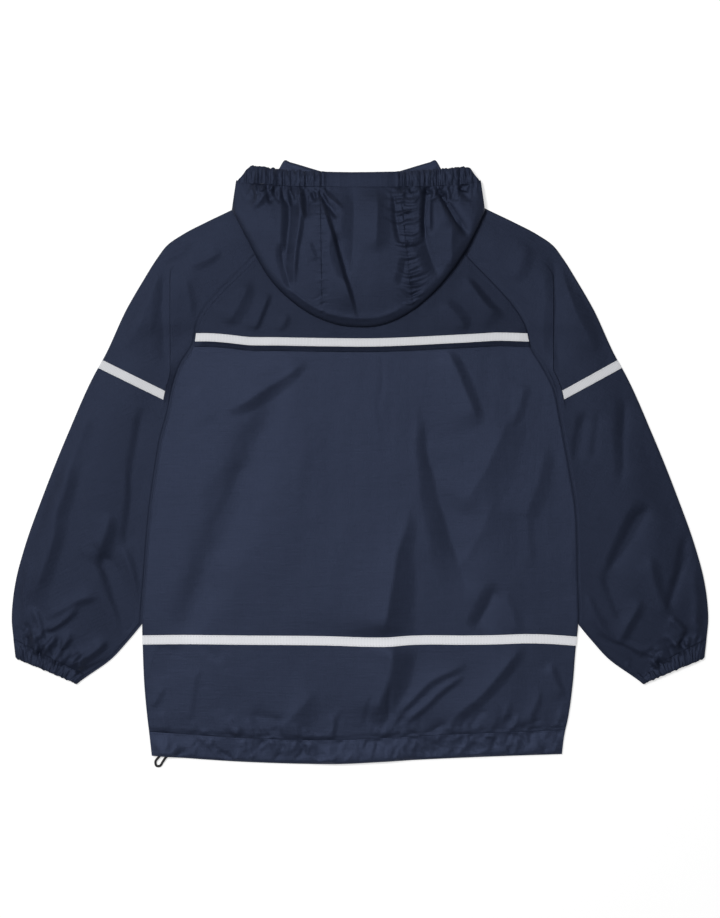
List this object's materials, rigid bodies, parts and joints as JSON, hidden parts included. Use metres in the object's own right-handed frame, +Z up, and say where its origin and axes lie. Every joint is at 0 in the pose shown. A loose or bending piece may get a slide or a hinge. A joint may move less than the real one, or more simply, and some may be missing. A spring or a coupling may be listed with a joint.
{
  "type": "kids raincoat",
  "caption": "Hooded raglan raincoat of light coated cloth lying face down, hood folded over the back, gathered cuffs, vented yoke, reflective tapes and a hem cord loop",
  "frame": {"origin": "on the table under the middle of the coat's outline", "axes": "+X to the right seen from above, across the sleeves; +Y towards the hood; +Z up from the table, out of the coat's back"},
  "size_m": [0.6974, 0.6072, 0.0223],
  "materials": {
    "cloth": "navy coated nylon with a faint satin sheen",
    "tape": "silver grey reflective tape, finely ribbed",
    "fastening": "navy hook and loop tape",
    "cord": "black braided elastic cord"
  },
  "bodies": {
    "root": {"back_body": "cloth", "back_yoke": "cloth", "back_hem": "cloth", "left_sleeve_back": "cloth", "left_sleeve_front": "cloth", "left_cuff_back": "cloth", "left_cuff_front": "cloth", "right_sleeve_back": "cloth", "right_sleeve_front": "cloth", "right_cuff_back": "cloth", "right_cuff_front": "cloth", "left_front": "cloth", "right_front": "cloth", "left_front_hem": "cloth", "right_front_hem": "cloth", "left_collar": "cloth", "right_collar": "cloth", "hood_left": "cloth", "hood_centre": "cloth", "hood_right": "cloth", "hood_left_under": "cloth", "hood_centre_under": "cloth", "hood_right_under": "cloth", "hood_rim": "cloth", "body_tape": "tape", "yoke_tape": "tape", "left_sleeve_tape": "tape", "right_sleeve_tape": "tape", "front_fastening": "fastening", "hem_cord": "cord"}
  },
  "joints": []
}
